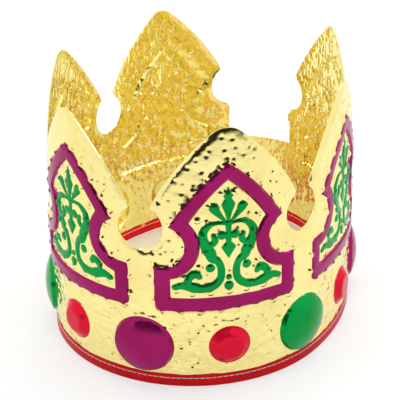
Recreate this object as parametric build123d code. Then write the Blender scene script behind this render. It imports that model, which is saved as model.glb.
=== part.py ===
"""Party crown pressed from one strip of gold film, with a tape sewn round its bottom edge.

The strip carries six house-shaped spikes. It is bent into a head oval, front at -Y, and a plain tab
at one end laps over the other end at the back. Frames and gems are pressed into the film, so they
stand out on the outside and are hollow on the inside. Lengths in millimetres, +Z up.
"""
from build123d import *
import os
from math import asin, cos, degrees, radians, sin

# Head oval at the middle of the film: four arcs that run smoothly into each other
front_radius = 80.0
front_arc_degrees = 146.0
side_radius = 130.0
back_radius = 46.0

# Film, and the closure at the back
film_thickness = 0.6
spike_count = 6
closure_gap = 42.0
end_cut_share = 2 / 3
tab_height = 55.5
tab_lap = 14.0
tab_corner_radius = 6.0
shoulder_radius = 4.0

# Spikes: their flanks bulge, from where two neighbours' would meet to a share of the way to the apex
spike_height = 146.5
flank_meeting_height = 92.0
flank_top_share = 0.935
flank_bulge = 4.0
apex_blunting = 0.4
apex_radius = 10.5
keyhole_radius = 12.0
keyhole_height = 91.6
tip_radius = 3.0

# Frame pressed into each spike
frame_peak_height = 128.5
frame_eaves_height = 76.0
frame_bulge = 5.4
frame_bottom_height = 46.2
frame_web = 12.4
frame_band = 7.5
frame_scoop_radius = 12.0
frame_scoop_inset = 9.0
frame_scoop_height = 83.2
frame_corner_radius = 3.5
frame_rise = 1.4

# Gems pressed into the band, large ones under the keyholes and small ones under the spikes
gem_height = 24.5
large_gem_radius = 16.5
large_gem_rim = 1.4
large_gem_rise = 5.5
small_gem_radius = 12.2
small_gem_rim = -1.1
small_gem_rise = 3.5
small_gem_table_radius = 6.8
gem_foot_share = 1 / 4

# Edging tape, folded over the bottom edge
tape_thickness = 0.6
tape_height = 7.6

# How far cutting tools run past what they cut
overrun = 5.0

# Head oval
half_film = film_thickness / 2
half_front = front_arc_degrees / 2
side_shift = (side_radius - front_radius) * sin(radians(half_front))
half_back = degrees(asin(side_shift / (side_radius - back_radius)))
side_turn = 180 - half_front - half_back
front_y = -(side_radius - front_radius) * cos(radians(half_front))
back_y = (side_radius - back_radius) * cos(radians(half_back))

# The origin is under the middle of the whole crown, from the front gem to the tape over the lap
front_end = front_y - front_radius - half_film - large_gem_rise
back_end = back_y + back_radius + film_thickness + tape_thickness
middle_y = (front_end + back_end) / 2

# Centre, radius, start angle and turn of each arc, anticlockwise from above
oval_arcs = [
    ((0, front_y - middle_y), front_radius, -90 - half_front, front_arc_degrees),
    ((-side_shift, -middle_y), side_radius, half_front - 90, side_turn),
    ((0, back_y - middle_y), back_radius, 90 - half_back, 2 * half_back),
    ((side_shift, -middle_y), side_radius, 90 + half_back, side_turn),
]
perimeter = sum(radius * radians(turn) for centre, radius, start, turn in oval_arcs)
pitch = (perimeter - closure_gap) / spike_count
strip_end = spike_count * pitch / 2


def wall_plane(run, height=0):
    """Plane on the wall, a run along it from the front: x along the wall, y up, z outwards."""
    left = (run + front_radius * radians(half_front)) % perimeter
    for centre, radius, start, turn in oval_arcs:
        length = radius * radians(turn)
        if left <= length:
            break
        left -= length
    angle = radians(start) + left / radius
    out = Vector(cos(angle), sin(angle), 0)
    along = Vector(-sin(angle), cos(angle), 0)
    return Plane(Vector(*centre, height) + out * radius, x_dir=along, z_dir=out)


def wall_point(run, outwards):
    """Point of the plan, so far outwards from the middle of the film."""
    plane = wall_plane(run)
    return plane.origin + plane.z_dir * outwards


def flat_reach(plane, run):
    """How far along a wall plane another point of the wall lies."""
    return abs(plane.to_local_coords(wall_plane(run).origin).X)


def oval_face(outwards):
    """Plan of everything inside the oval, so far outwards from the middle of the film."""
    edges = []
    for centre, radius, start, turn in oval_arcs:
        angles = [radians(start + turn * share) for share in (0, 1 / 2, 1)]
        spokes = [Vector(cos(angle), sin(angle)) * (radius + outwards) for angle in angles]
        edges.append(ThreePointArc(*[Vector(*centre) + spoke for spoke in spokes]))
    return make_face(edges)


def ring(inner, outer, bottom, top):
    """Upright ring between two distances outwards from the middle of the film."""
    return Pos(0, 0, bottom) * extrude(oval_face(outer) - oval_face(inner), top - bottom)


def prism(plane, face):
    """A wall sketch pushed through the film, short of the wall across the crown."""
    return extrude(plane * face, pitch / 2, both=True)


def spike_gap(run):
    """Opening between two spikes: a V between their bulging flanks that ends in a round keyhole."""
    plane = wall_plane(run)
    cap = spike_height + apex_blunting
    foot = (0, flank_meeting_height)
    edges = []
    ends = []
    for side in (1, -1):
        reach = side * flat_reach(plane, run + side * pitch / 2)
        top = (reach * flank_top_share, cap)
        step = (reach + side * apex_radius, cap)
        end = (reach + side * apex_radius, cap + overrun)
        edges += [SagittaArc(foot, top, side * flank_bulge), Line(top, step), Line(step, end)]
        ends.append(end)
    gap = make_face([*edges, Line(*ends)])
    shoulders = gap.vertices().group_by(Axis.Y)[1].sort_by(Axis.X)[1:3]
    gap = fillet(shoulders, apex_radius)
    gap += Pos(0, keyhole_height) * Circle(keyhole_radius)
    inside = gap.vertices().filter_by_position(Axis.X, -keyhole_radius, keyhole_radius)
    tips = inside.filter_by_position(Axis.Y, keyhole_height + tip_radius, cap)
    return plane, fillet(tips, tip_radius)


def strip_end_gap(side):
    """Opening at one end of the strip: half a spike gap, then the end's own straight edge."""
    plane, gap = spike_gap(side * strip_end)
    width = closure_gap * end_cut_share
    top = spike_height + overrun
    gap += Pos(side * width / 2, (top - overrun) / 2) * Rectangle(width, top + overrun)
    corner = gap.vertices().sort_by_distance((0, keyhole_height - keyhole_radius))[0]
    return plane, fillet(corner, shoulder_radius)


def frame_house(run):
    """Outer edge of a spike's frame with square corners: a pointed arch with a scoop out of each side."""
    plane = wall_plane(run)
    edges = []
    feet = []
    scoops = []
    for side in (1, -1):
        reach = flat_reach(plane, run + side * pitch / 2)
        edge = side * (reach - frame_web / 2)
        eaves = (edge, frame_eaves_height)
        foot = (edge, frame_bottom_height)
        edges += [SagittaArc((0, frame_peak_height), eaves, side * frame_bulge), Line(eaves, foot)]
        feet.append(foot)
        scoop_reach = side * (reach - frame_scoop_inset)
        scoops.append(Pos(scoop_reach, frame_scoop_height) * Circle(frame_scoop_radius))
    return plane, make_face([*edges, Line(*feet)]) - scoops


def frame_ridge(run):
    """The frame's band as a prism, with its lower outer corners rounded."""
    plane, house = frame_house(run)
    inner = offset(house, -frame_band, kind=Kind.INTERSECTION)
    return prism(plane, fillet(house.vertices().group_by(Axis.Y)[0], frame_corner_radius) - inner)


def frame_hollow(run):
    """The hollow behind the band as a prism: one film thickness inside both edges, with square corners."""
    plane, house = frame_house(run)
    outer = offset(house, -film_thickness, kind=Kind.INTERSECTION)
    return prism(plane, outer - offset(house, film_thickness - frame_band, kind=Kind.INTERSECTION))


def large_gem(wall):
    """A round cabochon with an upright rim, drawn in by a wall."""
    radius = large_gem_radius - wall
    rim = large_gem_rim - wall
    rise = large_gem_rise - wall
    foot = -large_gem_radius * gem_foot_share - wall
    crown = rise - rim
    dome = RadiusArc((radius, rim), (0, rise), -(radius ** 2 + crown ** 2) / (2 * crown))
    sides = Polyline((0, rise), (0, foot), (radius, foot), (radius, rim))
    return revolve(Plane.XZ * make_face([dome, sides]), Axis.Z)


def small_gem(wall):
    """A round stone with a flat table and a bevel that runs into the curved film, drawn in by a wall."""
    radius = small_gem_radius - wall
    rise = small_gem_rise - wall
    foot = -small_gem_radius * gem_foot_share - wall
    outline = [(0, rise), (0, foot), (radius, foot), (radius, small_gem_rim - wall)]
    outline.append((small_gem_table_radius - wall / 2, rise))
    return revolve(Plane.XZ * Polygon(*outline, align=None), Axis.Z)


def place_gems(wall):
    """Every gem of the crown, standing on the outside of the film."""
    small_runs = [(step + 1 / 2) * pitch - strip_end for step in range(spike_count)]
    large_runs = [step * pitch - strip_end for step in range(1, spike_count)]
    gems = []
    for runs, gem in ((small_runs, small_gem(wall)), (large_runs, large_gem(wall))):
        for run in runs:
            plane = wall_plane(run, gem_height)
            gems.append(plane.offset(half_film).location * gem)
    return gems


def tab_plan(grow):
    """Plan of the tab: it slants out across the closure, then lies on the strip's other end."""
    inner = -half_film - grow
    outer = half_film + grow
    middle = perimeter / 2
    edges = [
        ThreePointArc(
            wall_point(-strip_end, side),
            wall_point(middle, half_film + side),
            wall_point(strip_end, film_thickness + side),
        )
        for side in (inner, outer)
    ]
    slant = make_face([
        *edges,
        Line(edges[0] @ 0, edges[1] @ 0),
        Line(edges[0] @ 1, edges[1] @ 1),
    ])
    lap_end = strip_end - tab_lap - grow
    reach = tab_lap / 2
    wedge = Polygon(*[
        wall_point(run, side) for run, side in (
            (strip_end, -reach), (strip_end, reach), (lap_end, reach), (lap_end, -reach))
    ], align=None)
    lap = (oval_face(film_thickness + outer) - oval_face(film_thickness + inner)) & wedge
    return slant + lap


def make_tab():
    """Plain tab at the left end of the strip, with its free upper corner rounded."""
    tab = Pos(0, 0, tape_thickness) * extrude(tab_plan(0), tab_height - tape_thickness)
    corner = wall_point(strip_end - tab_lap, film_thickness) + Vector(0, 0, tab_height)
    free_edge = tab.edges().sort_by_distance(corner)[0]
    return fillet(free_edge, tab_corner_radius)


def make_crown_sheet():
    """The whole pressed strip, bent round and closed by its tab."""
    strip = ring(-half_film, half_film, tape_thickness, spike_height)
    gaps = [spike_gap(step * pitch - strip_end) for step in range(1, spike_count)]
    gaps += [strip_end_gap(-1), strip_end_gap(1)]
    strip -= [prism(plane, face) for plane, face in gaps]

    spike_runs = [(step + 1 / 2) * pitch - strip_end for step in range(spike_count)]
    raised = ring(0, half_film + frame_rise, tape_thickness, spike_height)
    hollow = ring(-half_film - overrun, frame_rise - half_film, tape_thickness, spike_height)
    inside = extrude(oval_face(0), spike_height)

    strip += [frame_ridge(run) & raised for run in spike_runs]
    strip += [gem - inside for gem in place_gems(0)]
    strip -= [frame_hollow(run) & hollow for run in spike_runs]
    strip -= place_gems(film_thickness)
    return strip + make_tab()


def make_edge_binding(crown_sheet):
    """Tape folded round the bottom edge, inside and out, and round the lap."""
    leg = half_film + tape_thickness
    plan = oval_face(leg) + tab_plan(tape_thickness) - oval_face(-leg)
    return extrude(plan, tape_height) - crown_sheet


crown_sheet = make_crown_sheet()
nodes = {
    "crown_sheet": crown_sheet,
    "edge_binding": make_edge_binding(crown_sheet),
}

os.makedirs("parts", exist_ok=True)
for name, shape in nodes.items():
    export_step(shape, f"parts/{name}.step")
    box = shape.bounding_box()
    print(name, len(shape.solids()), "solid", round(shape.volume, 1), box.min, box.max)
print("perimeter", round(perimeter, 2), "pitch", round(pitch, 2))
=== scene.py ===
"""Party crown of pressed gold film, seen as in the photo: sheet with its print, sewn edging tape, studio."""
import bpy
import numpy as np
from math import asin, atan2, cos, hypot, pi, radians, sin, sqrt
from mathutils import Euler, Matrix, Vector, kdtree
from mathutils.geometry import delaunay_2d_cdt


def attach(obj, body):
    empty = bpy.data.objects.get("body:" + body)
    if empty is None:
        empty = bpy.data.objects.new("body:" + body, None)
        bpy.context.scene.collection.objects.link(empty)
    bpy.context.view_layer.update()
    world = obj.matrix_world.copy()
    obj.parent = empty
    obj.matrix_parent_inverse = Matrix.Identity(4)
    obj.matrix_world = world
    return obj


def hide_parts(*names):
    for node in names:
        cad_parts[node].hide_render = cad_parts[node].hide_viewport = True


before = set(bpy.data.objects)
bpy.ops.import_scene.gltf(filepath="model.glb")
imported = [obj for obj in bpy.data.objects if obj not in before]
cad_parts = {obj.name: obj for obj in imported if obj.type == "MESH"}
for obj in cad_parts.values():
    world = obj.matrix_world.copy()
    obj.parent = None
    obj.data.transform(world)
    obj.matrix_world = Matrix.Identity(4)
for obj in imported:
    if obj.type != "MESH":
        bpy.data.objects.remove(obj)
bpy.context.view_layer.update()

# All sizes are in millimetres, as in the part's source, until a mesh is made
MILLIMETRE = 0.001

# Head oval at the middle of the film
front_radius = 80.0
half_front = radians(73.0)
side_radius = 130.0
back_radius = 46.0

# Film and closure
film_thickness = 0.6
half_film = film_thickness / 2
spike_count = 6
closure_gap = 42.0
tab_height = 55.5
tab_lap = 14.0
tab_corner_radius = 6.0
shoulder_radius = 4.0
shoulder_room = 0.4
sheet_bottom = 0.6

# Spikes
spike_height = 146.5
flank_meeting_height = 92.0
flank_top_share = 0.935
flank_bulge = 4.0
apex_cap = 146.9
apex_radius = 10.5
keyhole_radius = 12.0
keyhole_height = 91.6
tip_radius = 3.0

# Frame pressed into each spike
frame_peak_height = 128.5
frame_eaves_height = 76.0
frame_bulge = 5.4
frame_bottom_height = 46.2
frame_web = 12.4
frame_band = 7.5
frame_scoop_radius = 12.0
frame_scoop_inset = 9.0
frame_scoop_height = 83.2
frame_corner_radius = 3.5
frame_rise = 1.4
frame_arch = 0.2
frame_bevel = 1.1
frame_slope = 1.5
frame_slope_change = 8.0
frame_room = 4.0

# Scroll inside each frame
scroll_rise = 0.75
scroll_overlap = 0.15
scroll_bevel = 1.3

# Gems, the rounded foot of the large ones and the raised ring round the small ones
gem_height = 24.5
large_gem_radius = 16.5
large_gem_rim = 1.4
large_gem_rise = 5.5
large_gem_bevel = 0.8
fillet_rise = 0.7
fillet_width = 2.2
small_gem_radius = 11.2
small_gem_rise = 3.5
table_radius = 6.8
small_gem_slope = 4.6 / 5.4
small_gem_sharpness = 5.0
small_gem_foot = 3.5
small_gem_reach = 4.5
table_edge_in = 0.3
table_edge_out = 0.4
ring_rise = 0.8
ring_radius = 13.2
ring_width = 1.5
ring_sharpness = 2.5
gem_search_run = 30.0
gem_search_height = 50.0

# Beads along the frames, hammered pits in the spikes and small pits in the band
bead_radius = 2.0
bead_rise = 1.05
bead_spacing = 9.6
bead_outset = 0.5
bead_inset = 2.8
pit_radius = 1.5
pit_depth = 0.6
pit_depth_share = 0.75
pit_change_share = 0.3
pit_edge_room = 2.4
pit_frame_room = 1.6
pit_field_room = 4.0
pit_scroll_room = 1.0
pit_web_room = 7.0
pit_web_top = 82.0
small_pit_radius = 1.1
small_pit_depth = 0.5
scatter_shares = (0.05, 0.95)

# Hammered lumps in the spikes, ripples in the band, crinkles inside, and where they are quiet
hammer_rise = 0.30
ripple_rise = 0.40
ripple_squeeze = (0.65, 1)
crinkle_rise = 0.17
crinkle_fade = 3.0
frame_quiet_share = 0.8
scroll_quiet_share = 0.7
web_half = 4.0
web_fade = 5.0
lap_room = 2.0
lap_lead = 4.0

# Cut edge, rolled back
top_edge_height = 72.0
roll_depth = 0.5
left_roll_depth = 1.1
roll_shift_share = 0.06
roll_change_share = 0.14
roll_width = 3.4
roll_power = 1.6

# Edging tape and its stitches
tape_thickness = 0.6
tape_height = 7.6
tape_step = 1.3
tape_gap = 0.02
tape_sink = 0.3
tape_lip = 0.12
tape_lip_height = 7.5
lap_end_fade = 3.0
fold_step = 0.28
wave_depth = 0.28
puff_depth = 0.10
puff_room = 0.1
stitch_height = 5.1
stitch_pitch = 3.1
stitch_length = 2.75
stitch_start_share = 0.25
stitch_seat = 0.05
stitch_dive = 0.30
stitch_wander = 0.10
thread_radius = 0.22
thread_taper_share = 0.25
thread_sides = 8
thread_rings = 9
fold_radius = half_film + tape_thickness
tape_face = fold_radius - tape_sink

# The tape's leg from its top edge down: how far in from the face, and height
leg_points = [
    (0.08, 7.55), (0, 7.4), (0, 6.3), (0, 5.6), (0.04, 5.35), (0.08, stitch_height),
    (0.04, 4.85), (0, 4.6), (-0.1, 3.4), (-0.2, 2.2),
]

# Spacing of points along outlines and over the sheet
straight_step = 1.2
flank_step = 1.1
round_step = 1.0
disc_step = 0.9
tight_step = 0.8
scan_step = 0.3
back_step = 1.6
disc_length = 0.5
outside_spacing = 1.6
outside_field_spacing = 1.15
back_spacing = 1.9
back_field_spacing = 1.6
field_room = 0.3
lattice_start_share = 0.4
ring_share = 0.5
mark_clearance_share = 1.3
point_room = 0.4
merge_gap = 1e-5
sharp_angle = radians(38)

# Points in the rings over each bead, pit and small pit
outside_rings = ((8, 12), (8, 12), (8, 12))
back_rings = ((7, 10), (7,), (7,))

# Search settings
search_share = 0.8
search_count = 800
batch = 4000
far = 1e9
tiny = 1e-12
table_size = 256

# Oval
side_shift = (side_radius - front_radius) * sin(half_front)
half_back = asin(side_shift / (side_radius - back_radius))
side_turn = pi - half_front - half_back
front_y = -(side_radius - front_radius) * cos(half_front)
back_y = (side_radius - back_radius) * cos(half_back)
front_end = front_y - front_radius - half_film - large_gem_rise
back_end = back_y + back_radius + film_thickness + tape_thickness
middle_y = (front_end + back_end) / 2
arc_centres = np.array([
    (0, front_y - middle_y),
    (-side_shift, -middle_y),
    (0, back_y - middle_y),
    (side_shift, -middle_y),
])
arc_radii = np.array([front_radius, side_radius, back_radius, side_radius])
arc_turns = np.array([2 * half_front, side_turn, 2 * half_back, side_turn])
arc_starts = -pi / 2 - half_front + np.concatenate([[0], np.cumsum(arc_turns)[:-1]])
arc_lengths = arc_radii * arc_turns
arc_ends = np.cumsum(arc_lengths)
perimeter = arc_ends[-1]
pitch = (perimeter - closure_gap) / spike_count
strip_end = spike_count * pitch / 2
tab_end = -strip_end - closure_gap - tab_lap
spike_runs = [(n + 0.5) * pitch - strip_end for n in range(spike_count)]
large_runs = [n * pitch - strip_end for n in range(1, spike_count)]


def wall(run):
    """Plan points and outward directions of the middle of the film, at runs from the front."""
    left = np.mod(np.asarray(run, float) + front_radius * half_front, perimeter)
    arc = np.minimum(np.searchsorted(arc_ends, left), len(arc_radii) - 1)
    angle = arc_starts[arc] + (left - arc_ends[arc] + arc_lengths[arc]) / arc_radii[arc]
    out = np.stack([np.cos(angle), np.sin(angle)], -1)
    return arc_centres[arc] + out * arc_radii[arc][..., None], out


def flat(origin, runs):
    """How far along and behind the plane that touches the wall at an origin its points at runs lie."""
    point, out = wall(origin)
    along = np.array([-out[1], out[0]])
    away = wall(runs)[0] - point
    return away @ along, -(away @ out)


def unflat(origin, xs):
    """Runs of the wall's points that lie so far along the plane at an origin."""
    reach = pitch * search_share
    runs = origin + np.linspace(-reach, reach, search_count)
    return np.interp(xs, flat(origin, runs)[0], runs)


# Outlines in the flat

def arc_points(centre, radius, start, end, step):
    """Points of an arc, both ends included."""
    count = max(2, int(abs(end - start) * radius / step) + 1)
    angles = np.linspace(start, end, count)
    return [(centre[0] + radius * cos(a), centre[1] + radius * sin(a)) for a in angles]


def shorter_turn(start, end):
    """The end angle, moved by whole turns to the shorter way round from the start."""
    return start + (end - start + pi) % (2 * pi) - pi


def bulging_arc(start, end, bulge):
    """Centre and radius of the arc between two points that bulges to the left of the way."""
    start, end = np.array(start, float), np.array(end, float)
    chord = end - start
    length = hypot(*chord)
    radius = length ** 2 / (8 * bulge) + bulge / 2
    left = np.array([-chord[1], chord[0]]) / length
    return (start + end) / 2 + left * (bulge - radius), radius


def upper_meeting(centre, radius, other, other_radius):
    """The higher of the two points where two circles meet."""
    way = other - centre
    gap = hypot(*way)
    share = (gap ** 2 + radius ** 2 - other_radius ** 2) / (2 * gap)
    across = np.array([-way[1], way[0]]) / gap
    middle = centre + way * share / gap
    reach = across * sqrt(radius ** 2 - share ** 2)
    return max(middle + reach, middle - reach, key=lambda point: point[1])


def angle_of(point, centre):
    """Angle of a point about a centre."""
    return atan2(point[1] - centre[1], point[0] - centre[0])


def half_gap(reach):
    """One side of the opening between two spikes, from the bottom of the keyhole to the apex."""
    flank_top = (reach * flank_top_share, apex_cap)
    centre, radius = bulging_arc((0, flank_meeting_height), flank_top, flank_bulge)
    keyhole = np.array([0, keyhole_height])
    # The rounded tip touches the flank and the keyhole
    tip = upper_meeting(centre, radius - tip_radius, keyhole, keyhole_radius + tip_radius)
    to_tip = angle_of(tip, keyhole)
    tip_end = angle_of(tip, centre)
    points = arc_points(keyhole, keyhole_radius, -pi / 2, to_tip, round_step)
    points += arc_points(tip, tip_radius, to_tip + pi, shorter_turn(to_tip + pi, tip_end), tight_step)[1:]
    # The rounded apex touches the flank and the cap
    height = apex_cap - apex_radius
    apex = (centre[0] - sqrt((radius - apex_radius) ** 2 - (height - centre[1]) ** 2), height)
    apex_start = angle_of(apex, centre)
    points += arc_points(centre, radius, tip_end, apex_start, flank_step)[1:]
    stop = pi - asin((spike_height - height) / apex_radius)
    points += arc_points(apex, apex_radius, apex_start, stop, round_step)[1:]
    return np.array(points)


def gap_side(run, side):
    """One side of the opening between two spikes as runs and heights, from the keyhole to the apex."""
    reach = abs(flat(run, run + side * pitch / 2)[0])
    points = half_gap(reach)
    return np.column_stack([unflat(run, points[:, 0] * side), points[:, 1]])


def end_side(side):
    """The strip's end: straight edge, rounded shoulder, half a keyhole, flank and apex."""
    run = side * strip_end
    points = gap_side(run, -side)
    drop = sqrt((keyhole_radius + shoulder_radius) ** 2 - shoulder_radius ** 2)
    centre = (shoulder_radius, keyhole_height - drop)
    turn = atan2(drop, -shoulder_radius)
    shoulder = np.array(arc_points(centre, shoulder_radius, pi, turn, tight_step))
    shoulder[:, 0] = run - side * shoulder[:, 0]
    touch = shoulder_radius * keyhole_radius / (keyhole_radius + shoulder_radius)
    keep = np.abs(points[:, 0] - run) > touch + shoulder_room
    keep |= points[:, 1] > keyhole_height
    return np.vstack([shoulder, points[keep]])


def spaced(start, end, step):
    """Points along a straight line, without its end."""
    start, end = np.array(start, float), np.array(end, float)
    count = max(1, int(np.linalg.norm(end - start) / step))
    return [start + (end - start) * n / count for n in range(count)]


def sheet_outline():
    """The whole cut outline of the strip with its tab, anticlockwise, as runs and heights."""
    right = end_side(1)
    left = end_side(-1)
    points = spaced((tab_end, sheet_bottom), (strip_end, sheet_bottom), straight_step)
    points += spaced((strip_end, sheet_bottom), right[0], straight_step)
    points += list(right)
    for step in range(spike_count - 1, 0, -1):
        run = step * pitch - strip_end
        near = gap_side(run, 1)[::-1]
        points += spaced(points[-1], near[0], round_step)[1:]
        points += list(near)
        points += list(gap_side(run, -1))[1:]
    points += spaced(points[-1], left[-1], round_step)[1:]
    points += list(left[::-1])
    points += spaced(left[0], (-strip_end, tab_height), straight_step)[1:]
    corner = (tab_end + tab_corner_radius, tab_height - tab_corner_radius)
    points += spaced((-strip_end, tab_height), (corner[0], tab_height), straight_step)
    points += arc_points(corner, tab_corner_radius, pi / 2, pi, round_step)
    points += spaced((tab_end, corner[1]), (tab_end, sheet_bottom), straight_step)[1:]
    return np.array(points, float)


def frame_loop(run, inset, step=flank_step):
    """A loop inside a spike's frame, so far in from its outer edge, in the plane at the spike."""
    halves = []
    for side in (1, -1):
        reach = abs(flat(run, run + side * pitch / 2)[0])
        edge = reach - frame_web / 2
        centre, radius = bulging_arc((0, frame_peak_height), (edge, frame_eaves_height), frame_bulge)
        radius -= inset
        edge -= inset
        bottom = frame_bottom_height + inset
        corner = max(frame_corner_radius - inset, 0)
        scoop = np.array([reach - frame_scoop_inset, frame_scoop_height])
        scoop_radius = frame_scoop_radius + inset
        meet = upper_meeting(centre, radius, scoop, scoop_radius)
        last = 2 * pi - np.arccos((edge - scoop[0]) / scoop_radius)
        half = arc_points(centre, radius, np.arccos(-centre[0] / radius), angle_of(meet, centre), step)
        half += arc_points(scoop, scoop_radius, angle_of(meet, scoop), last, step)[1:]
        half += spaced(half[-1], (edge, bottom + corner), step)[1:]
        if corner > 0:
            half += arc_points((edge - corner, bottom + corner), corner, 0, -pi / 2, tight_step)
        else:
            half.append((edge, bottom))
        half += spaced(half[-1], (0, bottom), step)[1:]
        half = np.array(half, float)
        half[:, 0] *= side
        halves.append(half)
    bottom_middle = np.array([(0, frame_bottom_height + inset)])
    return np.vstack([halves[0], bottom_middle, halves[1][:0:-1]])


def inside(points, loop):
    """Which points a closed loop winds round."""
    x, z = points[:, 0][:, None], points[:, 1][:, None]
    x0, z0 = loop[:, 0], loop[:, 1]
    x1, z1 = np.roll(x0, -1), np.roll(z0, -1)
    left = (x1 - x0) * (z - z0) - (x - x0) * (z1 - z0)
    upward = (z0 <= z) & (z1 > z) & (left > 0)
    downward = (z0 > z) & (z1 <= z) & (left < 0)
    return upward.sum(1) != downward.sum(1)


def distance(points, loop, closed=True):
    """Distance of each point from a loop's segments."""
    ends = np.roll(loop, -1, 0) if closed else loop[1:]
    starts = loop if closed else loop[:-1]
    along = ends - starts
    square = np.maximum((along ** 2).sum(1), tiny)
    best = np.full(len(points), far)
    for first in range(0, len(points), batch):
        away = points[first:first + batch, None] - starts
        share = np.clip((away * along).sum(2) / square, 0, 1)
        gap = away - share[..., None] * along
        best[first:first + batch] = np.sqrt((gap ** 2).sum(2).min(1))
    return best


outline = sheet_outline()
top_edge = outline[outline[:, 1] > top_edge_height]


def inside_outline(points):
    """Which points lie inside the strip's outline."""
    flags = np.zeros(len(points), bool)
    for first in range(0, len(points), batch):
        flags[first:first + batch] = inside(points[first:first + batch], outline)
    return flags


# Ornament of each spike: tapering strokes as (x, height, half width), drawn on the right and mirrored
leaf = [
    (0, 116), (1.2, 112.8), (2.7, 110.6), (1.8, 109.2), (3.7, 105.8), (2.0, 101.6), (0.9, 97.5), (0.6, 94.5),
]
diamond = [(0, 86.6), (4.0, 82.2), (0, 75.4)]
side_strokes = [
    [(0.3, 95.2, 0.7), (3.4, 98.8, 1.2), (5.8, 101.8, 1.9), (6.9, 103.6, 2.6), (7.3, 104.4, 2.6)],
    [
        (0.4, 94.8, 0.9), (4.5, 96.0, 1.1), (9.2, 95.3, 1.6), (12.6, 91.6, 2.2), (13.1, 87.2, 2.6),
        (11.4, 82.6, 2.9), (9.3, 79.0, 3.0), (8.4, 76.4, 2.7), (5.4, 74.0, 2.0), (3.9, 69.2, 2.0),
        (4.6, 63.8, 2.1), (8.2, 60.2, 2.3), (14.2, 59.0, 2.4), (19.6, 60.4, 2.8), (24.2, 61.0, 2.2),
        (28.2, 60.0, 1.4),
    ],
    [(11.6, 84.6, 2.0), (8.8, 83.8, 1.7), (6.9, 86.2, 1.9), (7.7, 88.8, 1.4)],
    [(21.0, 61.6, 2.1), (20.6, 65.2, 2.1), (17.4, 67.7, 2.4), (15.2, 66.0, 1.7)],
    [(9.5, 70.8, 2.5), (9.6, 70.8, 2.5)],
    [(0.2, 88.9, 1.5), (3.3, 88.9, 2.5), (3.4, 88.9, 2.5)],
]
middle_strokes = [
    [(0, 95.5, 1.9), (0, 92, 1.5), (0, 86, 1.6)],
    [(0, 64.7, 1.7), (0, 64.6, 1.7)],
    [(0, 59.9, 2.6), (0, 59.8, 2.6)],
]


def curve(points, step):
    """A smooth curve through points, sampled at about a step."""
    points = np.array(points, float)
    ends = np.vstack([2 * points[0] - points[1], points, 2 * points[-1] - points[-2]])
    out = []
    for n in range(1, len(ends) - 2):
        a, b, c, d = ends[n - 1:n + 3]
        count = max(1, int(np.linalg.norm((c - b)[:2]) / step))
        for t in np.arange(count) / count:
            out.append(0.5 * (2 * b + (c - a) * t + (2 * a - 5 * b + 4 * c - d) * t ** 2
                              + (3 * b - a - 3 * c + d) * t ** 3))
    out.append(points[-1])
    return np.array(out)


def stroke_loop(stroke):
    """Outline of a stroke with round ends."""
    line = curve(stroke, tight_step)
    if hypot(*(line[-1] - line[0])[:2]) < disc_length:
        return np.array(arc_points(line[0], line[0][2], 0, 2 * pi, disc_step)[:-1])
    along = np.gradient(line[:, :2], axis=0)
    along /= np.linalg.norm(along, axis=1)[:, None]
    across = np.column_stack([-along[:, 1], along[:, 0]])
    left = line[:, :2] + across * line[:, 2:]
    right = line[:, :2] - across * line[:, 2:]
    caps = []
    for end, direction in ((line[-1], along[-1]), (line[0], -along[0])):
        middle = atan2(direction[1], direction[0])
        caps.append(arc_points(end, end[2], middle + pi / 2, middle - pi / 2, tight_step)[1:-1])
    return np.array(list(left) + caps[0] + list(right[::-1]) + caps[1])


def mirrored(points):
    """A list of points or strokes with its left and right swapped."""
    return [(-p[0], *p[1:]) for p in points]


ornament_strokes = side_strokes + [mirrored(s) for s in side_strokes] + middle_strokes
ornament_polygons = [
    np.array(leaf + mirrored(leaf[:0:-1]), float),
    np.array(diamond + [(-diamond[1][0], diamond[1][1])], float),
]
ornament_discs = np.vstack([curve(s, scan_step) for s in ornament_strokes])
ornament_loops = [stroke_loop(stroke) for stroke in ornament_strokes] + ornament_polygons


def ornament_depth(points):
    """How far inside the ornament each point lies, below zero outside it."""
    best = np.full(len(points), -far)
    for first in range(0, len(points), batch):
        away = points[first:first + batch, None] - ornament_discs[:, :2]
        best[first:first + batch] = (ornament_discs[:, 2] - np.sqrt((away ** 2).sum(2))).max(1)
    for polygon in ornament_polygons:
        gap = distance(points, polygon)
        best = np.maximum(best, np.where(inside(points, polygon), gap, -gap))
    return best


def resample(loop, step):
    """A closed loop with points at about a step, corners kept."""
    points = []
    for a, b in zip(loop, np.roll(loop, -1, 0)):
        points += spaced(a, b, step)
    return np.array(points)


# Relief, as outward moves of the middle of the film

def smooth(t):
    """Smooth step from 0 to 1."""
    t = np.clip(t, 0, 1)
    return t * t * (3 - 2 * t)


def rising(values, start, width):
    """0 up to a start, rising smoothly to 1 over a width."""
    return smooth((values - start) / width)


def grain(points, scale, seed):
    """Smooth random field of about -1 to 1 with bumps of about a scale."""
    random = np.random.default_rng(seed)
    table = random.uniform(-1, 1, (table_size, table_size))
    cell = np.floor(points / scale).astype(int)
    part = points / scale - cell
    part = part ** 3 * (part * (part * 6 - 15) + 10)
    i, j = cell[:, 0] % table_size, cell[:, 1] % table_size
    i1, j1 = (i + 1) % table_size, (j + 1) % table_size
    low = table[i, j] * (1 - part[:, 0]) + table[i1, j] * part[:, 0]
    high = table[i, j1] * (1 - part[:, 0]) + table[i1, j1] * part[:, 0]
    return low * (1 - part[:, 1]) + high * part[:, 1]


def nearest(centres):
    """A search tree of flat points."""
    tree = kdtree.KDTree(len(centres))
    for n, (x, z) in enumerate(centres):
        tree.insert((x, z, 0), n)
    tree.balance()
    return tree


def gaps_to(points, tree):
    """Distance of each point from the nearest one in a tree."""
    return np.array([tree.find((x, z, 0))[2] for x, z in points])


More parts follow.
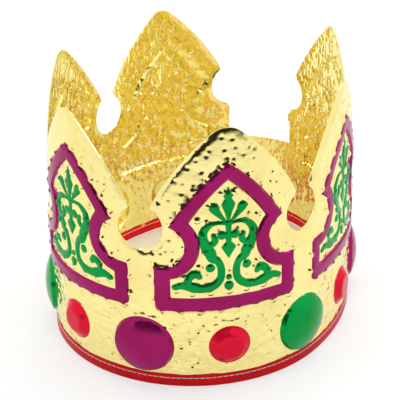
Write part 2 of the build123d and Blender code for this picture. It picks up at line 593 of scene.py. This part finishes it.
def pins(points, centres, radius, height):
    """Round bumps of one radius and height at the given centres."""
    share = np.clip(gaps_to(points, nearest(centres)) / radius, 0, 1)
    return height * (1 - share ** 2)


def along_loop(loop, spacing):
    """Points at an even spacing along a closed loop."""
    closed = np.vstack([loop, loop[:1]])
    steps = np.concatenate([[0], np.cumsum(np.linalg.norm(np.diff(closed, axis=0), axis=1))])
    count = round(steps[-1] / spacing)
    stops = (np.arange(count) + 0.5) * steps[-1] / count
    return np.column_stack([np.interp(stops, steps, closed[:, n]) for n in (0, 1)])


def scattered(bottom, top, spacing, seed):
    """Random points over the strip between two heights, about a spacing apart."""
    random = np.random.default_rng(seed)
    low = np.array([-strip_end, bottom])
    count = np.maximum(1, ((np.array([strip_end, top]) - low) / spacing).astype(int))
    cells = np.stack(np.meshgrid(np.arange(count[0]), np.arange(count[1]), indexing="ij"), -1)
    cells = cells.reshape(-1, 2)
    return low + (cells + random.uniform(*scatter_shares, cells.shape)) * spacing


def spike_loop(run, loop):
    """A loop drawn in the plane at a spike, as runs and heights."""
    return np.column_stack([unflat(run, loop[:, 0]), loop[:, 1]])


def web_gap(runs):
    """Distance along the wall from the nearest middle between two spikes."""
    place = (runs + strip_end) / pitch
    return np.abs(place - np.round(place)) * pitch


def clear_pits():
    """Places of the hammered pits: in the margins of the spikes and thinly inside the frames."""
    places = scattered(bottom=50, top=146, spacing=6.0, seed=5)
    keep = inside_outline(places) & (distance(places, top_edge, closed=False) > pit_edge_room)
    for run in spike_runs:
        near = np.abs(places[:, 0] - run) < pitch / 2
        local = np.column_stack([flat(run, places[near, 0])[0], places[near, 1]])
        in_frame = inside(local, frame_loop(run, -pit_frame_room))
        field = inside(local, frame_loop(run, frame_band + pit_field_room))
        field &= ornament_depth(places[near] - (run, 0)) < -pit_scroll_room
        keep[near] &= ~in_frame | field
    keep &= (web_gap(places[:, 0]) > pit_web_room) | (places[:, 1] > pit_web_top)
    return places[keep]


def band_pits():
    """Places of the small pits in the band between the gems."""
    places = scattered(bottom=10, top=43, spacing=6.4, seed=9)
    keep = np.ones(len(places), bool)
    for gem_runs, clearance in ((large_runs, 18.6), (spike_runs, 17.0)):
        for run in gem_runs:
            keep &= np.hypot(places[:, 0] - run, places[:, 1] - gem_height) > clearance
    return places[keep]


bead_centres = np.vstack([
    spike_loop(run, along_loop(frame_loop(run, inset), bead_spacing))
    for run in spike_runs
    for inset in (-bead_outset, frame_band + bead_inset)
])
pit_centres = clear_pits()
small_pit_centres = band_pits()


def edge_roll(points):
    """How far the cut edge is rolled back: most on each spike's left flank, as the shears left it."""
    place = (points[:, 0] + strip_end) / pitch
    side = place - np.floor(place) - 0.5
    return roll_depth + left_roll_depth * smooth(0.5 - (side + roll_shift_share) / roll_change_share)


def round_gem(points, run):
    """Points near a gem: which, how far along its plane, how deep behind it, how far from its middle."""
    near = (np.abs(points[:, 0] - run) < gem_search_run) & (points[:, 1] < gem_search_height)
    x, sag = flat(run, points[near, 0])
    return np.flatnonzero(near), x, sag, np.hypot(x, points[near, 1] - gem_height)


def above_tape(heights):
    """0 under the tape, rising to 1 just above it, so that the film lies flat where it is sewn."""
    return rising(heights, start=tape_height, width=3)


def spike_relief(run, points):
    """Frame and scroll of one spike, and how much they quieten the hammered texture."""
    local = np.column_stack([flat(run, points[:, 0])[0], points[:, 1]])
    outer, inner = frame_loop(run, 0), frame_loop(run, frame_band)
    in_outer, in_inner = inside(local, outer), inside(local, inner)
    gap_outer, gap_inner = distance(local, outer), distance(local, inner)
    arch = 1 - (2 * np.clip(gap_outer / frame_band, 0, 1) - 1) ** 2
    slope = frame_slope * smooth(0.5 - local[:, 0] / frame_slope_change)
    climb = smooth((np.where(in_outer, gap_outer, -gap_outer) + slope) / (slope + frame_bevel))
    fall = smooth(np.where(in_inner, -1, gap_inner) / frame_bevel)
    move = climb * fall * (frame_rise - frame_arch + frame_arch * arch)
    depth = ornament_depth(points - (run, 0))
    move += np.where(in_inner, scroll_rise * smooth((depth + scroll_overlap) / scroll_bevel), 0)
    in_band = in_outer & ~in_inner
    quiet = np.where(in_band, frame_quiet_share, np.where(depth > 0, scroll_quiet_share, 0))
    return move, quiet


def relief(points):
    """Outward move of the film's middle at each (run, height)."""
    runs, heights = points[:, 0], points[:, 1]
    move = np.zeros(len(points))
    quiet = np.zeros(len(points))
    for run in spike_runs:
        here = np.abs(runs - run) <= pitch / 2
        here &= heights > frame_bottom_height - frame_room
        here &= runs > -strip_end
        part, quiet_part = spike_relief(run, points[here])
        move[here] += part
        quiet[here] = np.maximum(quiet[here], quiet_part)
    edge_gap = distance(points, top_edge, closed=False)
    move -= edge_roll(points) * np.clip(1 - edge_gap / roll_width, 0, 1) ** roll_power
    # The film swells to the large gems and lies calm round all of them
    feet = [(run, large_gem_radius, fillet_rise) for run in large_runs]
    feet += [(run, small_gem_radius + small_gem_foot, 0) for run in spike_runs]
    for run, radius, rise in feet:
        near, _, _, radius_here = round_gem(points, run)
        rim_gap = radius_here - radius
        swell = np.exp(-(np.maximum(rim_gap, 0) / fillet_width) ** 2)
        move[near] += rise * swell * above_tape(heights[near])
        quiet[near] = np.maximum(quiet[near], 1 - rising(rim_gap, start=1, width=4))
    lap = (runs > strip_end - tab_lap - lap_room) | (runs < -strip_end - closure_gap + lap_lead)
    quiet = np.where(lap & (heights < tab_height + lap_room), 1, quiet)
    # Hammered lumps above the band, except on the webs, and ripples in the band
    upper = rising(heights, start=44, width=6)
    upper *= smooth((web_gap(runs) - web_half) / web_fade + rising(heights, start=80, width=8))
    hammer = hammer_rise * grain(points, scale=5.0, seed=1)
    ripple = ripple_rise * grain(points * ripple_squeeze, scale=2.8, seed=3) * above_tape(heights)
    texture = (hammer * upper + ripple * (1 - upper)) * (1 - quiet)
    move += texture * rising(edge_gap, start=2.5, width=5)
    move += pins(points, bead_centres, bead_radius, bead_rise)
    struck = pit_depth_share + pit_change_share * grain(points, scale=9, seed=6)
    move -= pins(points, pit_centres, pit_radius, pit_depth) * struck
    move -= pins(points, small_pit_centres, small_pit_radius, small_pit_depth)
    slant = np.clip((-strip_end - runs) / closure_gap, 0, 1)
    return move + film_thickness * slant


def gem_rise(radius_here, sag, heights, large):
    """Height of a gem over the plane that touches the wall at its middle."""
    if large:
        crown = large_gem_rise - large_gem_rim
        ball = (large_gem_radius ** 2 + crown ** 2) / (2 * crown)
        dome = np.sqrt(ball ** 2 - np.minimum(radius_here, large_gem_radius) ** 2)
        rise = large_gem_rise - ball + dome
        share = np.clip((large_gem_radius - radius_here) / large_gem_bevel, 0, 1)
        foot = fillet_rise * above_tape(heights) - sag
        return foot + (rise - foot) * share
    slope = small_gem_rise - (radius_here - table_radius) * small_gem_slope
    fall = (small_gem_rise - slope) * small_gem_sharpness
    rise = small_gem_rise - np.logaddexp(0, fall) / small_gem_sharpness
    ring = -sag + ring_rise * np.exp(-((radius_here - ring_radius) / ring_width) ** 2)
    return np.logaddexp(rise * ring_sharpness, ring * ring_sharpness) / ring_sharpness


def shape_sheet(points):
    """Middle of the film in space, and its outward directions, at each (run, height)."""
    plan, out = wall(points[:, 0])
    plan = plan + out * relief(points)[:, None]
    out = out.copy()
    gems = [(run, large_gem_radius, True) for run in large_runs]
    gems += [(run, small_gem_radius + small_gem_reach, False) for run in spike_runs]
    for run, reach, large in gems:
        near, x, sag, radius_here = round_gem(points, run)
        hit = radius_here < reach
        index = near[hit]
        rise = gem_rise(radius_here[hit], sag[hit], points[index, 1], large)
        origin, face = wall(run)
        along = np.array([-face[1], face[0]])
        plan[index] = origin + np.outer(x[hit], along) + np.outer(rise, face)
        out[index] = face
    space = np.column_stack([plan, points[:, 1]])
    return space, np.column_stack([out, np.zeros(len(out))])


# The film's mesh

def gem_ring(run, radius, step):
    """A circle round a gem's middle, as runs and heights."""
    points = np.array(arc_points((0, gem_height), radius, 0, 2 * pi, step)[:-1])
    return spike_loop(run, points)


def pressed_loops(insets, drawings, small_radii, steps):
    """Edges of what is printed or pressed with an edge, for one side of the film."""
    frame_step, small_step, large_step = steps
    loops = []
    for run in spike_runs:
        loops += [spike_loop(run, frame_loop(run, inset, frame_step)) for inset in insets]
        loops += [drawing + (run, 0) for drawing in drawings]
        loops += [gem_ring(run, radius, small_step) for radius in small_radii]
    for run in large_runs:
        for radius in (large_gem_radius, large_gem_radius - large_gem_bevel):
            loops.append(gem_ring(run, radius, large_step))
    return loops


def dimples(centres, radius, counts):
    """Points in rings over bumps or pits, so that the mesh keeps them round."""
    points = [centres]
    for n, count in enumerate(counts):
        turns = 2 * pi * (np.arange(count) + 0.5 * (n % 2)) / count
        ring = np.column_stack([np.cos(turns), np.sin(turns)]) * radius * ring_share * (n + 1)
        points.append((centres[:, None] + ring).reshape(-1, 2))
    return np.vstack(points)


def lattice(spacing, field_spacing):
    """Points over the strip, closer together inside the frames."""
    kept = []
    for step, for_field in ((spacing, False), (field_spacing, True)):
        rows = np.arange(sheet_bottom + step * lattice_start_share, spike_height, step * sqrt(3) / 2)
        points = []
        for n, row in enumerate(rows):
            xs = np.arange(tab_end + step * (lattice_start_share + 0.5 * (n % 2)), strip_end, step)
            points.append(np.column_stack([xs, np.full(len(xs), row)]))
        points = np.vstack(points)
        field = np.zeros(len(points), bool)
        for run in spike_runs:
            near = np.abs(points[:, 0] - run) < pitch / 2
            field[near] = inside(points[near], spike_loop(run, frame_loop(run, frame_band + field_room)))
        kept.append(points[field == for_field])
    return np.vstack(kept)


def skin(loops, spacing, field_spacing, ring_counts):
    """Triangles over the strip that keep to its outline and to the given loops."""
    points = [outline]
    count = len(outline)
    edges = [(n, (n + 1) % count) for n in range(count)]
    for loop in loops:
        edges += [(count + n, count + (n + 1) % len(loop)) for n in range(len(loop))]
        points.append(loop)
        count += len(loop)
    fixed = np.vstack(points)
    free = lattice(spacing, field_spacing)
    marks = [(bead_centres, bead_radius), (pit_centres, pit_radius), (small_pit_centres, small_pit_radius)]
    for centres, radius in marks:
        free = free[pins(free, centres, radius * mark_clearance_share, 1) == 0]
    for (centres, radius), counts in zip(marks, ring_counts):
        free = np.vstack([free, dimples(centres, radius, counts)])
    free = free[inside_outline(free)]
    free = free[gaps_to(free, nearest(fixed)) > point_room]
    everything = np.vstack([fixed, free])
    result = delaunay_2d_cdt([Vector(p) for p in everything], edges, [], 0, merge_gap)
    points = np.array([tuple(p) for p in result[0]])
    triangles = np.array([tuple(t) for t in result[2]])
    triangles = triangles[inside_outline(points[triangles].mean(1))]
    a, b, c = (points[triangles[:, n]] for n in range(3))
    area = (b[:, 0] - a[:, 0]) * (c[:, 1] - a[:, 1]) - (b[:, 1] - a[:, 1]) * (c[:, 0] - a[:, 0])
    triangles[area < 0] = triangles[area < 0][:, ::-1]
    border = {}
    for n, sources in enumerate(result[3]):
        for source in sources:
            if source < len(outline):
                border[source] = n
    return points, triangles, np.array([border[n] for n in range(len(outline))])


# Slots of the film's materials
gold, purple, green, pink, plain_back = range(5)


def print_colours(middles):
    """Which print each triangle of the outside carries."""
    colours = np.full(len(middles), gold)
    for run in spike_runs:
        here = np.flatnonzero(np.abs(middles[:, 0] - run) < pitch / 2)
        local = np.column_stack([flat(run, middles[here, 0])[0], middles[here, 1]])
        in_outer, in_inner = inside(local, frame_loop(run, 0)), inside(local, frame_loop(run, frame_band))
        colours[here[in_outer & ~in_inner]] = purple
        scroll = [inside(middles[here] - (run, 0), loop) for loop in ornament_loops]
        colours[here[in_inner & np.any(scroll, axis=0)]] = green
    gems = [(run, small_gem_radius, pink) for run in spike_runs]
    gems += [(run, large_gem_radius, green if n % 2 else purple) for n, run in enumerate(large_runs)]
    for run, radius, colour in gems:
        near, _, _, radius_here = round_gem(middles, run)
        colours[near[radius_here < radius]] = colour
    return colours


def new_object(name, data):
    """A new object in the scene."""
    thing = bpy.data.objects.new(name, data)
    bpy.context.collection.objects.link(thing)
    return thing


def make_mesh(name, points, faces, materials, slots):
    """A smooth-shaded mesh object from points in millimetres."""
    mesh = bpy.data.meshes.new(name)
    mesh.from_pydata((points * MILLIMETRE).tolist(), [], [list(f) for f in faces])
    for material in materials:
        mesh.materials.append(material)
    mesh.polygons.foreach_set("material_index", np.asarray(slots, np.int32))
    mesh.polygons.foreach_set("use_smooth", np.ones(len(faces), bool))
    mesh.update()
    mesh.set_sharp_from_angle(angle=sharp_angle)
    return new_object(name, mesh)


def quads(rows, width, closed_rows=False, closed=True):
    """Quads between rows of points, as point numbers; rows, and the rows together, can close to rings."""
    faces = []
    for row in range(rows if closed_rows else rows - 1):
        here, there = row * width, (row + 1) % rows * width
        for k in range(width if closed else width - 1):
            after = (k + 1) % width
            faces.append((here + k, here + after, there + after, there + k))
    return faces


def make_sheet(materials):
    """The closed film: printed outside, plain inside, cut edges."""
    insets = (0, frame_bevel, frame_band - frame_bevel, frame_band)
    drawings = [stroke_loop(stroke) for stroke in ornament_strokes]
    drawings += [resample(polygon, tight_step) for polygon in ornament_polygons]
    radii = (small_gem_radius, table_radius - table_edge_in, table_radius + table_edge_out)
    loops = pressed_loops((-frame_slope, *insets), drawings, radii, (flank_step, round_step, flank_step))
    outside, out_faces, out_border = skin(loops, outside_spacing, outside_field_spacing, outside_rings)
    loops = pressed_loops(insets, [], radii[:1], (back_step, back_step, back_step))
    backside, back_faces, back_border = skin(loops, back_spacing, back_field_spacing, back_rings)
    front_space, front_out = shape_sheet(outside)
    back_space, back_out = shape_sheet(backside)
    calm = np.clip(distance(backside, outline) / crinkle_fade, 0, 1)
    crinkle = crinkle_rise * grain(backside, scale=3.4, seed=12) * calm
    front_points = front_space + front_out * half_film
    back_points = back_space - back_out * (half_film + crinkle)[:, None]
    shift = len(outside)
    faces = [tuple(t) for t in out_faces] + [tuple(t[::-1] + shift) for t in back_faces]
    slots = list(print_colours(outside[out_faces].mean(1))) + [plain_back] * len(back_faces)
    for a, b, c, d in zip(out_border, np.roll(out_border, -1), np.roll(back_border, -1), back_border):
        faces.append((b, a, d + shift, c + shift))
        slots.append(gold)
    return make_mesh("crown_sheet_film", np.vstack([front_points, back_points]), faces, materials, slots)


# Edging tape: folded over the bottom edge, sewn through

def tape_lift(runs):
    """How far the lapped tab pushes the tape's outer and inner legs out, at runs from the lap's start."""
    slant = film_thickness * np.clip((-strip_end - runs) / closure_gap, 0, 1)
    on_lap = runs < -strip_end - closure_gap
    outer = np.where(on_lap, film_thickness * (1 - smooth((tab_end - runs) / lap_end_fade)), slant)
    inner = np.where(on_lap, 0, slant)
    return outer, inner


def tape_section():
    """The folded tape's section as outward offsets and heights, closed, starting inside the outer leg."""
    clear = half_film + tape_gap
    right = [(clear, tape_lip_height), (clear + tape_lip, tape_height)]
    right += [(tape_face - inset, height) for inset, height in leg_points]
    right += arc_points((0, fold_radius), fold_radius, 0, -pi / 2, fold_step)[1:]
    left = [(-x, z) for x, z in right[-2::-1]]
    seam = sheet_bottom - tape_gap
    return np.array(right + left + [(-clear, seam), (clear, seam)], float)


def wander(runs, scale, seed):
    """Smooth random values of about -1 to 1 along the perimeter."""
    return grain(np.column_stack([runs, np.full(len(runs), 0.5)]), scale, seed)


def make_tape(material):
    """The folded tape as one closed ring with a slightly wavy top edge."""
    count = round(perimeter / tape_step)
    runs = strip_end - np.arange(count) * perimeter / count
    plan, out = wall(runs)
    outer, inner = tape_lift(runs)
    section = tape_section()
    rings = []
    for offset, height in section:
        seed = 21 if offset > 0 else 22
        wave = 1 + wander(runs, scale=7.0, seed=seed)
        drop = wave_depth * wave * rising(height, start=4.5, width=3.1)
        puff = puff_depth * (1 + wander(runs, scale=9.0, seed=seed + 4)) * rising(height, start=0, width=2)
        puff *= abs(offset) > half_film + puff_room
        lift = outer if offset > 0 else inner
        move = offset + lift - np.sign(offset) * puff
        rings.append(np.column_stack([plan + out * move[:, None], np.full(count, height) - drop]))
    points = np.stack(rings, 1).reshape(-1, 3)
    faces = [(a, d, c, b) for a, b, c, d in quads(count, len(section), closed_rows=True)]
    return make_mesh("edging_tape", points, faces, [material], [0] * len(faces))


def stitch_points(face, middle):
    """Rings of points of one stitch, bowed over the tape, outside for face 1 and inside for -1."""
    shares = np.linspace(-1, 1, thread_rings)
    runs = middle + shares * stitch_length / 2
    plan, out = wall(runs)
    outer, inner = tape_lift(np.where(runs > strip_end, runs - perimeter, runs))
    lift = outer if face > 0 else inner
    seats = tape_face + stitch_seat - stitch_dive * shares ** 4
    heights = stitch_height + stitch_wander * wander(runs, scale=11.0, seed=31 + face)
    points = []
    for r in range(thread_rings):
        thick = thread_radius * (1 - thread_taper_share * shares[r] ** 6)
        for k in range(thread_sides):
            turn = 2 * pi * k / thread_sides
            move = face * (seats[r] + thick * cos(turn)) + lift[r]
            points.append((*(plan[r] + out[r] * move), heights[r] + thick * sin(turn)))
    return points


def make_stitches(material):
    """Running stitches outside and inside: short bowed lengths of thread that dive into the tape."""
    points, faces = [], []
    count = round(perimeter / stitch_pitch)
    first_ring = tuple(range(thread_sides))
    last_ring = tuple(k + (thread_rings - 1) * thread_sides for k in first_ring)
    pattern = quads(thread_rings, thread_sides) + [first_ring[::-1], last_ring]
    for face in (1, -1):
        for n in range(count):
            for corners in pattern:
                faces.append(tuple(len(points) + k for k in corners[::-face]))
            points += stitch_points(face, strip_end - (n + stitch_start_share) * perimeter / count)
    return make_mesh("stitch_thread", np.array(points), faces, [material], [0] * len(faces))


# Materials

def linear(hex_colour):
    """Linear colour of an sRGB hex colour."""
    parts = [int(hex_colour[n:n + 2], 16) / 255 for n in (0, 2, 4)]
    return tuple(p / 12.92 if p < 0.04045 else ((p + 0.055) / 1.055) ** 2.4 for p in parts) + (1,)


def feed(tree, target, inputs):
    """Give a node its inputs: each one is a value, or another node's output to link."""
    for name, value in inputs.items():
        if isinstance(value, bpy.types.NodeSocket):
            tree.links.new(value, target.inputs[name])
        else:
            target.inputs[name].default_value = value


def node(tree, kind, inputs=None, stops=(), **fields):
    """Add a node with its fields, its inputs and, for a ramp, its stops of place and hex colour."""
    made = tree.nodes.new("ShaderNode" + kind)
    for name, value in fields.items():
        setattr(made, name, value)
    for n, (place, colour) in enumerate(stops):
        elements = made.color_ramp.elements
        element = elements[n] if n < len(elements) else elements.new(place)
        element.position = place
        element.color = linear(colour)
    feed(tree, made, inputs or {})
    return made


def new_material(name):
    """A new material, its node tree, its shader and its object coordinates."""
    material = bpy.data.materials.new(name)
    material.use_nodes = True
    tree = material.node_tree
    return material, tree, tree.nodes["Principled BSDF"], node(tree, "TexCoord").outputs["Object"]


def per_millimetre(size):
    """Texture scale that gives features of a size in millimetres."""
    return 1 / (size * MILLIMETRE)


lacquer_gloss = 0.1


def film_material(name, colours, roughness, metal, grain_depth, upper_share, squeeze):
    """Metallised film, bare or lacquered, pressed cold: sharp mirror images that its lumps break up."""
    material, tree, shader, place = new_material(name)
    # Slow change of tone where the metal or the ink lies thinner
    cloud = node(tree, "TexNoise", {"Vector": place, "Scale": per_millimetre(22), "Detail": 3.0})
    tone = node(tree, "ValToRGB", {"Fac": cloud.outputs["Fac"]}, ((0.35, colours[1]), (0.62, colours[0])))
    # Pressing leaves patches that are a little duller
    scuff = node(tree, "TexNoise", {"Vector": place, "Scale": per_millimetre(5), "Detail": 4.0})
    dull = node(tree, "MapRange", {
        "Value": scuff.outputs["Fac"], "From Min": 0.3, "From Max": 0.7,
        "To Min": roughness[0], "To Max": roughness[1],
    })
    # Flat hammered lumps, weaker above the band; drawn at 2.4 mm, as the real 0.3 mm would not show
    drawn = node(tree, "VectorMath", {0: place, 1: squeeze}, operation="MULTIPLY")
    grit = node(tree, "TexNoise", {"Vector": drawn.outputs[0], "Scale": per_millimetre(2.4), "Detail": 0.5})
    height = node(tree, "SeparateXYZ", {"Vector": place})
    strength = node(tree, "MapRange", {
        "Value": height.outputs["Z"], "From Min": 40 * MILLIMETRE, "From Max": 50 * MILLIMETRE,
        "To Min": 1.0, "To Max": upper_share,
    })
    press = node(tree, "Bump", {
        "Strength": strength.outputs["Result"], "Distance": grain_depth * MILLIMETRE,
        "Height": grit.outputs["Fac"],
    })
    feed(tree, shader, {
        "Base Color": tone.outputs["Color"], "Roughness": dull.outputs["Result"],
        "Normal": press.outputs["Normal"], "Metallic": metal,
    })
    if metal < 1:
        feed(tree, shader, {"Specular IOR Level": lacquer_gloss})
    return material


def vinyl_material():
    """Calendered red vinyl: even colour, soft sheen, fine leather-like grain drawn at 0.9 mm to show."""
    material, tree, shader, place = new_material("red_vinyl_tape")
    cloud = node(tree, "TexNoise", {"Vector": place, "Scale": per_millimetre(9), "Detail": 3.0})
    tone = node(tree, "ValToRGB", {"Fac": cloud.outputs["Fac"]}, ((0.3, "d60a13"), (0.65, "ec0f1b")))
    cells = node(tree, "TexVoronoi", {"Vector": place, "Scale": per_millimetre(0.9)})
    press = node(tree, "Bump", {
        "Strength": 0.3, "Distance": 0.05 * MILLIMETRE, "Height": cells.outputs["Distance"],
    })
    dull = node(tree, "MapRange", {
        "Value": cloud.outputs["Fac"], "From Min": 0.3, "From Max": 0.7, "To Min": 0.3, "To Max": 0.44,
    })
    feed(tree, shader, {
        "Base Color": tone.outputs["Color"], "Roughness": dull.outputs["Result"],
        "Normal": press.outputs["Normal"], "IOR": 1.53, "Specular IOR Level": 0.15,
    })
    return material


def thread_material():
    """Spun polyester sewing thread, bleached: matt and pale, with the fuzz of its twist."""
    material, tree, shader, place = new_material("pale_polyester_thread")
    fuzz = node(tree, "TexNoise", {"Vector": place, "Scale": per_millimetre(0.5), "Detail": 2.0})
    tone = node(tree, "ValToRGB", {"Fac": fuzz.outputs["Fac"]}, ((0.3, "e6c9c6"), (0.6, "f8efec")))
    twist = node(tree, "Bump", {
        "Strength": 0.5, "Distance": 0.05 * MILLIMETRE, "Height": fuzz.outputs["Fac"],
    })
    feed(tree, shader, {
        "Base Color": tone.outputs["Color"], "Normal": twist.outputs["Normal"], "Roughness": 0.7,
    })
    return material


# Lumps lie flat on the printed side and stand upright inside
lying = (0.6, 0.6, 1)
upright = (1.0, 1.0, 0.55)
lacquer = (0.1, 0.2)
film = [
    film_material("gold_metallised_film", ("faec9f", "f5e392"), (0.08, 0.17), 1.0, 0.75, 0.18, lying),
    film_material("purple_lacquer_on_film", ("a81e68", "9a1a5a"), lacquer, 0.65, 0.05, 1.0, lying),
    film_material("green_lacquer_on_film", ("0ca44a", "0a9440"), lacquer, 0.65, 0.05, 1.0, lying),
    film_material("pink_lacquer_on_film", ("ff183f", "f01538"), lacquer, 0.3, 0.05, 1.0, lying),
    film_material("gold_film_back", ("fff5a4", "fbea90"), (0.11, 0.22), 1.0, 0.75, 1.0, upright),
]
sheet = make_sheet(film)
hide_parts("crown_sheet")
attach(sheet, "root")

tape = make_tape(vinyl_material())
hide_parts("edge_binding")
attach(tape, "root")

stitches = make_stitches(thread_material())
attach(stitches, "root")

# Studio in metres: white paper floor, and a dark card before the crown that the film mirrors
world_level = 0.72
glow_level = 1.06
floor_glow = 0.58
floor_half = 4
rim_step = 3.0
rim_inset = 1.2
rim_height = 0.05
aim_point = Vector((0, 0, 0.06))
lamp_distance = 1.4


def seen_rays(tree):
    """1 for rays that show the backdrop to the camera, in a mirror or through glass."""
    path = node(tree, "LightPath").outputs
    first = node(tree, "Math", {0: path["Is Camera Ray"], 1: path["Is Glossy Ray"]}, operation="MAXIMUM")
    second = {0: first.outputs[0], 1: path["Is Transmission Ray"]}
    return node(tree, "Math", second, operation="MAXIMUM").outputs[0]


def stage_plane(name, corners, faces, material):
    """A studio surface that is not part of the crown."""
    mesh = bpy.data.meshes.new(name)
    mesh.from_pydata(corners, [], faces)
    mesh.materials.append(material)
    thing = new_object(name, mesh)
    return thing


def paper_material(name, low_colour, high_colour, glow):
    """Matt white paper; the open background also shows as white to the camera and in the film."""
    material, tree, shader, place = new_material(name)
    fibre = node(tree, "TexNoise", {"Vector": place, "Scale": per_millimetre(40), "Detail": 2.0})
    tone = node(tree, "ValToRGB", {"Fac": fibre.outputs["Fac"]}, ((0, low_colour), (1, high_colour)))
    feed(tree, shader, {"Base Color": tone.outputs["Color"], "Roughness": 0.9, "Specular IOR Level": 0.0})
    if glow:
        shown = node(tree, "Math", {0: seen_rays(tree), 1: glow}, operation="MULTIPLY").outputs[0]
        feed(tree, shader, {"Emission Color": (1, 1, 1, 1), "Emission Strength": shown})
    return material


open_paper = paper_material("white_paper_floor", "aeaeae", "b2b2b2", floor_glow)
floor_corners = [(x * floor_half, y * floor_half, 0) for x, y in ((-1, -1), (1, -1), (1, 1), (-1, 1))]
stage_plane("floor", floor_corners, [(0, 1, 2, 3)], open_paper)
inner_paper = paper_material("white_paper_inside", "f5f3f0", "f9f7f4", 0)
rim_plan, rim_out = wall(np.arange(0, perimeter, rim_step))
rim = np.column_stack([rim_plan - rim_inset * rim_out, np.full(len(rim_plan), rim_height)]) * MILLIMETRE
stage_plane("floor_inside", rim.tolist(), [tuple(range(len(rim)))], inner_paper)

world = bpy.data.worlds.new("studio")
bpy.context.scene.world = world
world.use_nodes = True
sky = world.node_tree
level = node(sky, "MapRange", {"Value": seen_rays(sky), "To Min": world_level, "To Max": glow_level})
feed(sky, sky.nodes["Background"], {"Color": (1, 1, 1, 1), "Strength": level.outputs["Result"]})

# Dark card, a painted reflection: it glows, lies on the floor, sweeps up, and gets darker and darker on the
# way
card_near = 0.36
card_far = 0.60
card_rise = 0.02
card_clearance = 0.001
card_floor_rows = 6
card_wall_shares = (0.25, 0.5, 1)
card_fade = 0.10
card_level = 1.03
card_stops = ((0, "ffffff"), (1, "2a241b"), (0.66, "e4e4e4"))
card_left = -26
card_right = 66
card_turn_step = 2
card_low_top = 0.16
card_extra_top = 0.34
card_drop_share = 0.8


def card_top(turn):
    """Height of the card's top edge at a turn from the front: low on the left, high in front, low again."""
    climb = rising(turn, start=card_left, width=30)
    drop = card_drop_share * rising(turn, start=36, width=16)
    return card_low_top + card_extra_top * climb * (1 - drop)


def reflection_glow_material():
    """Glowing card, a painted reflection that fades from the floor's white to black; it shows only in the
    film.
    """
    material, tree, _, place = new_material("glowing_reflection_card")
    level_place = node(tree, "VectorMath", {0: place, 1: (1, 1, 0)}, operation="MULTIPLY").outputs[0]
    reach = node(tree, "VectorMath", {0: level_place}, operation="LENGTH").outputs["Value"]
    height = node(tree, "SeparateXYZ", {"Vector": place}).outputs["Z"]
    along = node(tree, "Math", {0: reach, 1: height}, operation="ADD").outputs[0]
    share = node(tree, "MapRange", {"Value": along, "From Min": card_near, "From Max": card_far + card_fade})
    fade = node(tree, "ValToRGB", {"Fac": share.outputs["Result"]}, card_stops)
    # Painted reflection: the card glows white near the floor and darker further out, so the film mirrors a
    # dark studio front
    glow = node(tree, "Emission", {"Color": fade.outputs["Color"], "Strength": card_level})
    feed(tree, tree.nodes["Material Output"], {"Surface": glow.outputs["Emission"]})
    return material


def dark_card():
    """The card, made of rows that run round the crown's front."""
    turns = range(card_left, card_right, card_turn_step)
    floor_step = (card_far - card_near) / card_floor_rows
    rows = [[(card_near + floor_step * n, card_clearance)] * len(turns) for n in range(card_floor_rows)]
    rows.append([(card_far, card_rise)] * len(turns))
    rows += [[(card_far, card_top(turn) * share) for turn in turns] for share in card_wall_shares]
    points = [
        (radius * sin(radians(turn)), -radius * cos(radians(turn)), height)
        for row in rows
        for turn, (radius, height) in zip(turns, row)
    ]
    card = stage_plane("dark_card", points, quads(len(rows), len(turns), closed=False), reflection_glow_material())
    card.visible_camera = False
    card.visible_diffuse = False
    card.visible_shadow = False


dark_card()


def from_front(turn, lift):
    """The direction at a turn from the front towards +X and a lift."""
    return Vector((cos(lift) * sin(turn), -cos(lift) * cos(turn), sin(lift)))


def softbox(name, turn, lift, size, level):
    """A square studio lamp that shines at the crown with a given brightness of its face."""
    data = bpy.data.lights.new(name, "AREA")
    data.size = size
    data.energy = level * pi * size ** 2
    lamp = new_object(name, data)
    lamp.location = from_front(radians(turn), radians(lift)) * lamp_distance + aim_point
    aim = aim_point - lamp.location
    lamp.rotation_euler = aim.to_track_quat("-Z", "Y").to_euler()


softbox("left_softbox", turn=-105, lift=40, size=0.5, level=4.0)
softbox("right_softbox", turn=130, lift=45, size=0.5, level=3.6)
softbox("top_softbox", turn=180, lift=80, size=0.7, level=4.2)

# Camera as fitted to the photo
view_turn = radians(19.56)
view_lift = radians(25.98)
view_distance = 754.9
view_target = Vector((0, 2.15, 58.9))
view_roll = radians(-0.98)
image_pixels = 400
focal_pixels = 1300.3
shift_pixels = -8.43
sensor_width = 36
camera_data = bpy.data.cameras.new("camera")
camera = new_object("camera", camera_data)
away = from_front(view_turn, view_lift)
camera.location = (view_target + away * view_distance) * MILLIMETRE
turn = (-away).to_track_quat("-Z", "Y")
camera.rotation_euler = (turn @ Euler((0, 0, view_roll)).to_quaternion()).to_euler()
camera_data.sensor_width = sensor_width
camera_data.lens = sensor_width * focal_pixels / image_pixels
camera_data.shift_x = shift_pixels / image_pixels
camera_data.clip_start = 0.01
bpy.context.scene.camera = camera
bpy.context.scene.view_settings.view_transform = "Standard"
